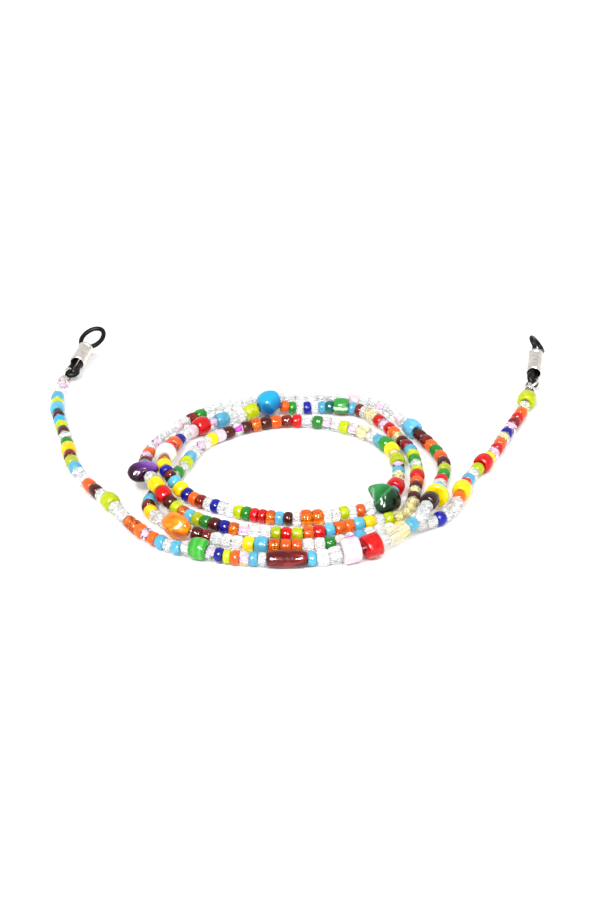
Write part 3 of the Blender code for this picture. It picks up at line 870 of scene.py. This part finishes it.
def round_hoop_tube(skin, points, across, radii, sides, look):
    """A closed hoop of round section through the points, one radius for each."""
    hoops = []
    for i, point in enumerate(points):
        direction = (points[(i + 1) % len(points)] - points[i - 1]).normalized()
        side = direction.cross(across).normalized()
        hoops.append(hoop_round(point, across, side, [radii[i]] * sides))
    skin.add_hoops(hoops, [look] * len(hoops))


# ---------------- end fittings

class Fitting:
    """The places and directions of one end fitting."""

    def __init__(self, side, end, outward):
        facts = FITTINGS[side]
        self.side = side
        self.sleeve_at, self.droop, self.sway = facts["sleeve_at"], facts["droop"], facts["sway"]
        self.out = Vector((outward.x, outward.y, 0)).normalized()
        self.out = (self.out + UP * facts["ring_climb"]).normalized()
        heading, climb = math.radians(facts["heading"]), math.radians(facts["climb"])
        flat = Vector((math.cos(heading), math.sin(heading), 0))
        self.axis = flat * math.cos(climb) + UP * math.sin(climb)
        across = self.axis.cross(UP).normalized()
        above = across.cross(self.axis).normalized()
        roll = math.radians(facts["roll"])
        self.wide = across * math.cos(roll) + above * math.sin(roll)
        self.normal = self.wide.cross(self.axis).normalized()
        self.ring_tangent = (self.normal - self.out * self.normal.dot(self.out)).normalized()
        self.tail = self.ring_tangent.cross(self.out).normalized()
        self.eye = end + (self.out * EYE_TO_BEAD + self.tail * (LEG_SPACING / 2)) * MM
        turn = Matrix.Rotation(math.radians(facts["ring_turn"]), 3, self.ring_tangent)
        self.lean = turn @ self.out
        self.link = self.eye + self.lean * (2 * RING_R * MM)

    def wire_loop(self):
        """The wire from its tail in the crimp, round the eye ring and back to the strand."""
        r = WIRE_EYE_R
        shape = [(-2.3, r * 0.38), (-1.45, r * 0.38), (-0.6, r * 0.82), (0.0, r), (r * 0.72, r * 0.7),
                 (r, 0.0), (r * 0.72, -r * 0.7), (0.0, -r), (-0.6, -r * 0.82), (-1.45, -r * 0.38)]
        return [self.eye + (self.out * a + self.tail * b) * MM for a, b in shape]

    def on_axis(self, along, wide=0.0):
        """A place on the loop's centre plane, which droops and sways past the neck."""
        past = max(0.0, along - NECK_END)
        bend = past * past / (past + 2.0)
        wide += self.sway * bend
        return self.link + (self.axis * along + self.wide * wide - UP * (self.droop * bend)) * MM


def temple_loop(fitting, made):
    """One rubber cord in a figure of eight: the eye loop, two legs and the loop for the temple."""
    half = []
    eye_steps = 6
    for k in range(eye_steps + 1):
        angle = math.radians(180 - k * 140.5 / eye_steps)
        half.append((EYE_LOOP_R * math.cos(angle), EYE_LOOP_R * math.sin(angle)))
    half += [(1.9, LEG_OFFSET), (4.5, LEG_OFFSET), (7.5, LEG_OFFSET), (NECK_END, LEG_OFFSET)]
    half += [(11.8, 1.35), (12.5, 1.95), (13.4, 2.4), (14.4, 2.55), (15.4, 2.4), (16.3, 1.95),
             (16.95, 1.3), (17.3, 0.5)]
    outline = half + [(u, -v) for u, v in half[:0:-1]]
    drawn = smooth([Vector(spot) for spot in outline], 5, closed=True)
    points = [fitting.on_axis(u, v) for u, v in drawn]
    swell = EYE_RUBBER_R - RUBBER_R
    radii = [RUBBER_R + swell * min(1.0, max(0.0, 2.6 - u)) for u, v in drawn]
    skin = Skin()
    round_hoop_tube(skin, points, fitting.normal, radii, 18, made["rubber"])
    piece = skin.finish(f"rubber_loop_{fitting.side}")
    stand_for(piece, f"temple_loop_{fitting.side}", "rubber", f"temple_loop_{fitting.side}")


def fillet(profile, radius):
    """The closed profile with each corner rounded."""
    rounded, steps = [], 4
    for i, corner in enumerate(profile):
        spot = Vector(corner)
        before, after = Vector(profile[i - 1]), Vector(profile[(i + 1) % len(profile)])
        reach = min(radius, 0.45 * (before - spot).length, 0.45 * (after - spot).length)
        a = spot + (before - spot).normalized() * reach
        b = spot + (after - spot).normalized() * reach
        for k in range(steps + 1):
            t = k / steps
            rounded.append(tuple(a * (1 - t) ** 2 + spot * 2 * t * (1 - t) + b * t * t))
    return rounded


def turned_part(name, middle, axes, along, profile, sides, look):
    """A metal part turned from a closed profile of places along the axis and radii."""
    skin = Skin()
    hoops = [hoop_round(middle + along * (a * MM), *axes, [r] * sides) for a, r in profile]
    skin.add_hoops(hoops, [look] * len(hoops))
    return skin.finish(name)


def slide_sleeve(fitting, made):
    """The plated sleeve: a drawn tube with a rolled rim and a shallow groove at each end."""
    half = SLEEVE_LENGTH / 2
    outer = [(half, SLEEVE_R - 0.1), (half - 0.25, SLEEVE_RIM_R), (half - 0.8, SLEEVE_RIM_R),
             (half - 1.0, SLEEVE_R - 0.12), (half - 1.25, SLEEVE_R), (-half + 1.25, SLEEVE_R),
             (-half + 1.0, SLEEVE_R - 0.12), (-half + 0.8, SLEEVE_RIM_R), (-half + 0.25, SLEEVE_RIM_R),
             (-half, SLEEVE_R - 0.1), (-half, SLEEVE_BORE_R + 0.05), (half, SLEEVE_BORE_R + 0.05)]
    middle = fitting.on_axis(fitting.sleeve_at)
    piece = turned_part(f"plated_sleeve_{fitting.side}", middle, (fitting.wide, -fitting.normal),
                        fitting.axis, fillet(outer, 0.14), 56, made["plated_metal"])
    stand_for(piece, f"slide_sleeve_{fitting.side}", "plated_metal", f"slide_sleeve_{fitting.side}")


def eye_ring(fitting, made):
    """The ring of round wire that joins the wire's eye to the rubber."""
    middle = (fitting.eye + fitting.link) / 2
    points, steps = [], 64
    for k in range(steps):
        angle = math.tau * k / steps
        points.append(middle + (fitting.lean * math.cos(angle)
                                + fitting.ring_tangent * math.sin(angle)) * (RING_R * MM))
    skin = Skin()
    across = fitting.ring_tangent.cross(fitting.lean)
    round_hoop_tube(skin, points, across, [RING_WIRE_R] * steps, 16, made["plated_metal"])
    piece = skin.finish(f"plated_ring_{fitting.side}")
    stand_for(piece, f"eye_ring_{fitting.side}", "plated_metal", f"eye_ring_{fitting.side}")


def crimp_tube(fitting, made):
    """The soft tube pressed over the wire and its tail, with the dent that the pliers left."""
    near, far = -CRIMP_FROM_EYE, -CRIMP_FROM_EYE - CRIMP_LENGTH
    middle = (near + far) / 2
    outer = [(near, CRIMP_R * 0.92), (near - 0.22, CRIMP_R), (middle + 0.12, CRIMP_R * 0.9),
             (middle - 0.12, CRIMP_R * 0.9), (far + 0.22, CRIMP_R), (far, CRIMP_R * 0.92),
             (far, CRIMP_BORE_R - 0.2), (near, CRIMP_BORE_R - 0.2)]
    piece = turned_part(f"pressed_crimp_{fitting.side}", fitting.eye, (fitting.tail, fitting.ring_tangent),
                        fitting.out, fillet(outer, 0.12), 40, made["plated_metal"])
    stand_for(piece, "strand", "plated_metal", f"crimp_tube_{fitting.side}")


def stringing_wire(strand, left, right, made):
    """The one wire that carries every bead, with a loop round the eye ring at each end."""
    middle = [strand.curve[i] for i in range(0, len(strand.curve), 6)]
    points = smooth(left.wire_loop(), 4)[:-1] + middle + smooth(right.wire_loop()[::-1], 4)[1:]
    curve = bpy.data.curves.new("beading_wire", "CURVE")
    curve.dimensions = "3D"
    curve.bevel_depth = WIRE_D / 2 * MM
    curve.bevel_resolution = 3
    curve.use_fill_caps = True
    line = curve.splines.new("POLY")
    line.points.add(len(points) - 1)
    for spot, point in zip(line.points, points):
        spot.co = (*point, 1.0)
    curve.materials.append(made["beading_wire"])
    piece = bpy.data.objects.new("beading_wire", curve)
    bpy.context.collection.objects.link(piece)
    stand_for(piece, "strand", "wire", "stringing_wire")


# ---------------- accent beads

# A nugget's size is its length along the wire, its width and height, and how far its middle lies
# aside of the hole and above it. Sharpness is how crisp the edges between its worn faces are.
PEBBLES = {
    "purple_nugget": {"size": (4.4, 7.5, 4.4, 0.85, 0.0), "faces": 18, "sharpness": 6, "seed": 5,
                      "roll": 0.1},
    "blue_nugget": {"size": (5.6, 6.1, 5.8, 0.0, 0.3), "faces": 16, "sharpness": 11, "seed": 3,
                    "roll": 0.4},
    "green_nugget": {"size": (5.6, 8.0, 5.8, -0.5, 0.45), "faces": 12, "sharpness": 5, "seed": 8,
                     "roll": 0.2},
    "orange_nugget": {"size": (7.5, 5.5, 5.1, 0.0, 0.0), "faces": 20, "sharpness": 6, "seed": 2,
                      "roll": 0.0, "ribs": 0.05},
}


# Each shape's section: how its length is stretched, its bore, its steps and its squareness.
SECTIONS = {
    "tube": (1.0, TUBE_BORE_R, 36, 0.42),
    "chunk": (1.02, TUBE_BORE_R, 36, 0.5),
    "oval": (1.0, TUBE_BORE_R, 44, 0.7),
    "round": (1.0, ACCENT_BORE_R, 36, 0.84),
    "yellow_disc": (1.0, ACCENT_BORE_R, 36, 0.6),
}

# How far each shape is out of round, at a place along its hole and an angle round it.
UNEVEN = {
    "tube": lambda x, a: 1 + 0.018 * math.sin(3 * a + x),
    "chunk": lambda x, a: 0.96 + 0.05 * math.cos(3 * a + x * 0.6) + 0.02 * math.sin(5 * a - x),
    "oval": lambda x, a: 1 + 0.02 * math.cos(4 * a + 0.4 * x),
    "round": lambda x, a: 1 + 0.012 * math.cos(2 * a + 0.5),
}


def accent_looks(strand, made):
    """The glass or stone of each accent bead: its own, or the seeds' glass that its slot names."""
    looks = {
        "orange_nugget": veined("orange_stone", [(0.3, (206, 78, 2)), (0.5, (240, 128, 8)),
                                                 (0.7, (250, 168, 20))], 0.5, (0.35, 1, 1)),
        "garnet_oval": veined("garnet_glass", [(0.35, (64, 0, 5)), (0.55, (112, 2, 10)),
                                               (0.74, (176, 44, 44))], 0.5, (0.5, 1, 1), 1.0, 0.1),
        "red_chunk": veined("red_coral", [(0.3, (170, 4, 6)), (0.55, (206, 8, 10)),
                                          (0.78, (230, 50, 44))], 0.5),
        # The white glass's bluish tint is painted shade and its warm tint a painted reflection, spread at
        # random by the noise.
        "white_round": veined("white_glass", [(0.3, (226, 234, 240)), (0.6, (255, 254, 250)),
                                              (0.8, (248, 240, 226))], 0.4, (1, 1, 1), 1.0, 0.4),
        "sky_round": veined("sky_stone", [(0.3, (76, 160, 206)), (0.55, (104, 186, 222)),
                                          (0.75, (140, 206, 230))], 0.6),
        "pink_tube": made["pearl_glass"],
        "brown_pearl": made["bronze_glass"],
        "crystal_tube": made["straw_glass"],
        "gold_crystal": made["straw_glass"],
    }
    for name, (*_, slot) in ACCENTS.items():
        if slot in made:
            looks.setdefault(name, made[slot])
    stops = dict(strand.accent_stops())
    # Each nugget's colour gets lighter towards the top along an axis near up: painted light on top and
    # painted shade below. The green nugget's narrow pale band is a painted highlight streak.
    for name, axis, depth, tones in (
            ("purple_nugget", Vector((0.5, 0.3, 1)), 5.2,
             [(0.1, (34, 0, 26)), (0.5, (52, 2, 50)), (0.72, (84, 34, 112)), (0.9, (128, 86, 172))]),
            ("blue_nugget", Vector((-0.2, -0.1, 1)), 6.0,
             [(0.1, (0, 30, 96)), (0.4, (0, 76, 146)), (0.65, (0, 118, 178)), (0.9, (24, 156, 200))]),
            ("green_nugget", Vector((-0.7, 0.3, 0.6)), 7.0,
             [(0.1, (1, 10, 5)), (0.4, (2, 34, 17)), (0.6, (4, 66, 28)), (0.66, (56, 128, 76)),
              (0.72, (8, 92, 38)), (0.95, (30, 136, 58))])):
        looks[name] = banded(name.replace("nugget", "stone"), axis.normalized(), tones, depth)
    looks["green_striped"] = banded(
        "striped_green_glass", UP,
        [(0.0, (96, 10, 12)), (0.16, (120, 16, 16)), (0.22, (34, 128, 44)), (0.46, (44, 144, 52)),
         (0.5, (216, 236, 206)), (0.64, (216, 236, 206)), (0.68, (44, 144, 52))], 3.8)
    looks["green_round"] = banded(
        "streaked_green_glass", strand.at(stops["green_round"])[1],
        [(0.0, (22, 118, 34)), (0.3, (46, 156, 44)), (0.42, (82, 172, 70)), (0.48, (50, 160, 46)),
         (0.62, (54, 168, 48)), (0.7, (92, 180, 80)), (0.78, (44, 150, 44))], 4.6)
    return looks


def accent_bead(name, strand, distance, looks, made):
    """The detailed bead for one accent node, riding on that bead's own body."""
    shape, length, diameter, slot = ACCENTS[name]
    radius, look = diameter / 2, looks[name]
    place = (f"{name}_bead", strand, distance)
    if shape == "nugget":
        piece = pebble(*place, PEBBLES[name], look)
    elif name in ("crystal_tube", "gold_crystal"):
        lining_look = made["gold_lining"] if name == "gold_crystal" else look
        section = faceted_section(length, radius, ACCENT_BORE_R)
        piece = turned_bead(*place, section, CRYSTAL_SIDES, look, lining_look, flat=True, roll=0.3)
    else:
        stretch, bore, steps, squareness = SECTIONS.get(name, SECTIONS[shape])
        section = seed_section(length * stretch, radius, bore, steps, squareness)
        piece = turned_bead(*place, section, ACCENT_SIDES, look, look, UNEVEN[shape])
    body = "strand" if name == "garnet_oval" else name
    stand_for(piece, body, slot, name)


# ---------------- studio

# The studio, in metres, degrees, watts and the lens's own millimetres.
FLOOR, FLOOR_GAP = 6.0, 0.00002
CAMERA_LENS, CAMERA_SENSOR, CAMERA_RANGE, CAMERA_ELEVATION = 59.0, 36.0, 0.330, 30.0
LIGHT_RANGE = 0.7

# Each light: its azimuth, elevation, size and power, and whether it makes highlights only.
LIGHTS = {
    "key_light": (-22, 50, (0.09, 0.10), 2.7, False),
    "second_light": (30, 56, (0.07, 0.08), 1.5, False),
    "sparkle_left": (-16, 40, (0.13, 0.16), 12.0, True),
    "sparkle_right": (14, 30, (0.07, 0.10), 5.0, True),
}


def camera():
    """The camera, above the table and square to the front of the coil."""
    lens = bpy.data.cameras.new("camera")
    lens.lens, lens.sensor_width = CAMERA_LENS, CAMERA_SENSOR
    lens.clip_start, lens.clip_end = 0.01, 50.0
    target = placed((0.0, 0.0, 0.0))
    elevation = math.radians(CAMERA_ELEVATION)
    back = Vector((0.0, -math.cos(elevation), math.sin(elevation)))
    eye = bpy.data.objects.new("camera", lens)
    eye.location = target + back * CAMERA_RANGE
    eye.rotation_euler = (-back).to_track_quat("-Z", "Y").to_euler()
    bpy.context.collection.objects.link(eye)
    bpy.context.scene.camera = eye


def area_light(name, azimuth, elevation, size, power_w, sparkle):
    """A soft rectangular light aimed at the coil; a sparkle light makes highlights only."""
    light = bpy.data.lights.new(name, "AREA")
    light.shape, light.energy = "RECTANGLE", power_w
    light.size, light.size_y = size
    a, e = math.radians(azimuth), math.radians(elevation)
    away = Vector((math.sin(a) * math.cos(e), -math.cos(a) * math.cos(e), math.sin(e)))
    lamp = bpy.data.objects.new(name, light)
    lamp.location = away * LIGHT_RANGE
    lamp.visible_diffuse = lamp.visible_transmission = not sparkle
    lamp.rotation_euler = (-away).to_track_quat("-Z", "Y").to_euler()
    bpy.context.collection.objects.link(lamp)


def room():
    """A pale even room, a little darker overhead."""
    world = bpy.data.worlds.new("room")
    world.use_nodes = True
    tree = world.node_tree
    background = tree.nodes["Background"]
    place = tree.nodes.new("ShaderNodeTexCoord")
    split = tree.nodes.new("ShaderNodeSeparateXYZ")
    tree.links.new(place.outputs["Generated"], split.inputs["Vector"])
    shade = tree.nodes.new("ShaderNodeValToRGB")
    shade.color_ramp.elements[0].color = (1.0, 1.0, 1.0, 1.0)
    shade.color_ramp.elements[0].position = 0.5
    shade.color_ramp.elements[1].color = (0.84, 0.84, 0.84, 1.0)
    tree.links.new(split.outputs["Z"], shade.inputs["Fac"])
    tree.links.new(shade.outputs["Color"], background.inputs["Color"])
    background.inputs["Strength"].default_value = 1.0
    bpy.context.scene.world = world


def studio():
    """A white sweep in a pale room, under two soft lights and two that make highlights only."""
    mesh = bpy.data.meshes.new("sweep")
    mesh.from_pydata([(-FLOOR, -FLOOR, 0), (FLOOR, -FLOOR, 0), (FLOOR, FLOOR, 0), (-FLOOR, FLOOR, 0)],
                     [], [(0, 1, 2, 3)])
    paper = Shader("sweep_paper")
    paper.colour(paper.ramp(paper.noise(0.02, 2.0), [(0.3, (250, 250, 250)), (0.7, (253, 253, 253))]))
    paper.set(Roughness=0.9, Specular_IOR_Level=0.1)
    mesh.materials.append(paper.material)
    floor = bpy.data.objects.new("sweep", mesh)
    floor.location.z = -FLOOR_GAP
    bpy.context.collection.objects.link(floor)
    room()
    for name, facts in LIGHTS.items():
        area_light(name, *facts)
    bpy.context.scene.view_settings.view_transform = "Standard"


def main():
    made = make_materials()
    strand = Strand()
    ends = {
        "left": (strand.points[0], -strand.at(0.0)[1]),
        "right": (strand.points[-1], strand.at(strand.run[-1])[1]),
    }
    fittings = {side: Fitting(side, *place) for side, place in ends.items()}
    camera()
    stringing_wire(strand, fittings["left"], fittings["right"], made)
    rng = random.Random(11)
    for name, low, high, letters in strand.seed_runs():
        seed_run(name, strand, low, high, letters, made, rng)
    looks = accent_looks(strand, made)
    for name, distance in strand.accent_stops():
        accent_bead(name, strand, distance, looks, made)
    for fitting in fittings.values():
        temple_loop(fitting, made)
        slide_sleeve(fitting, made)
        eye_ring(fitting, made)
        crimp_tube(fitting, made)
    studio()


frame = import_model()
main()
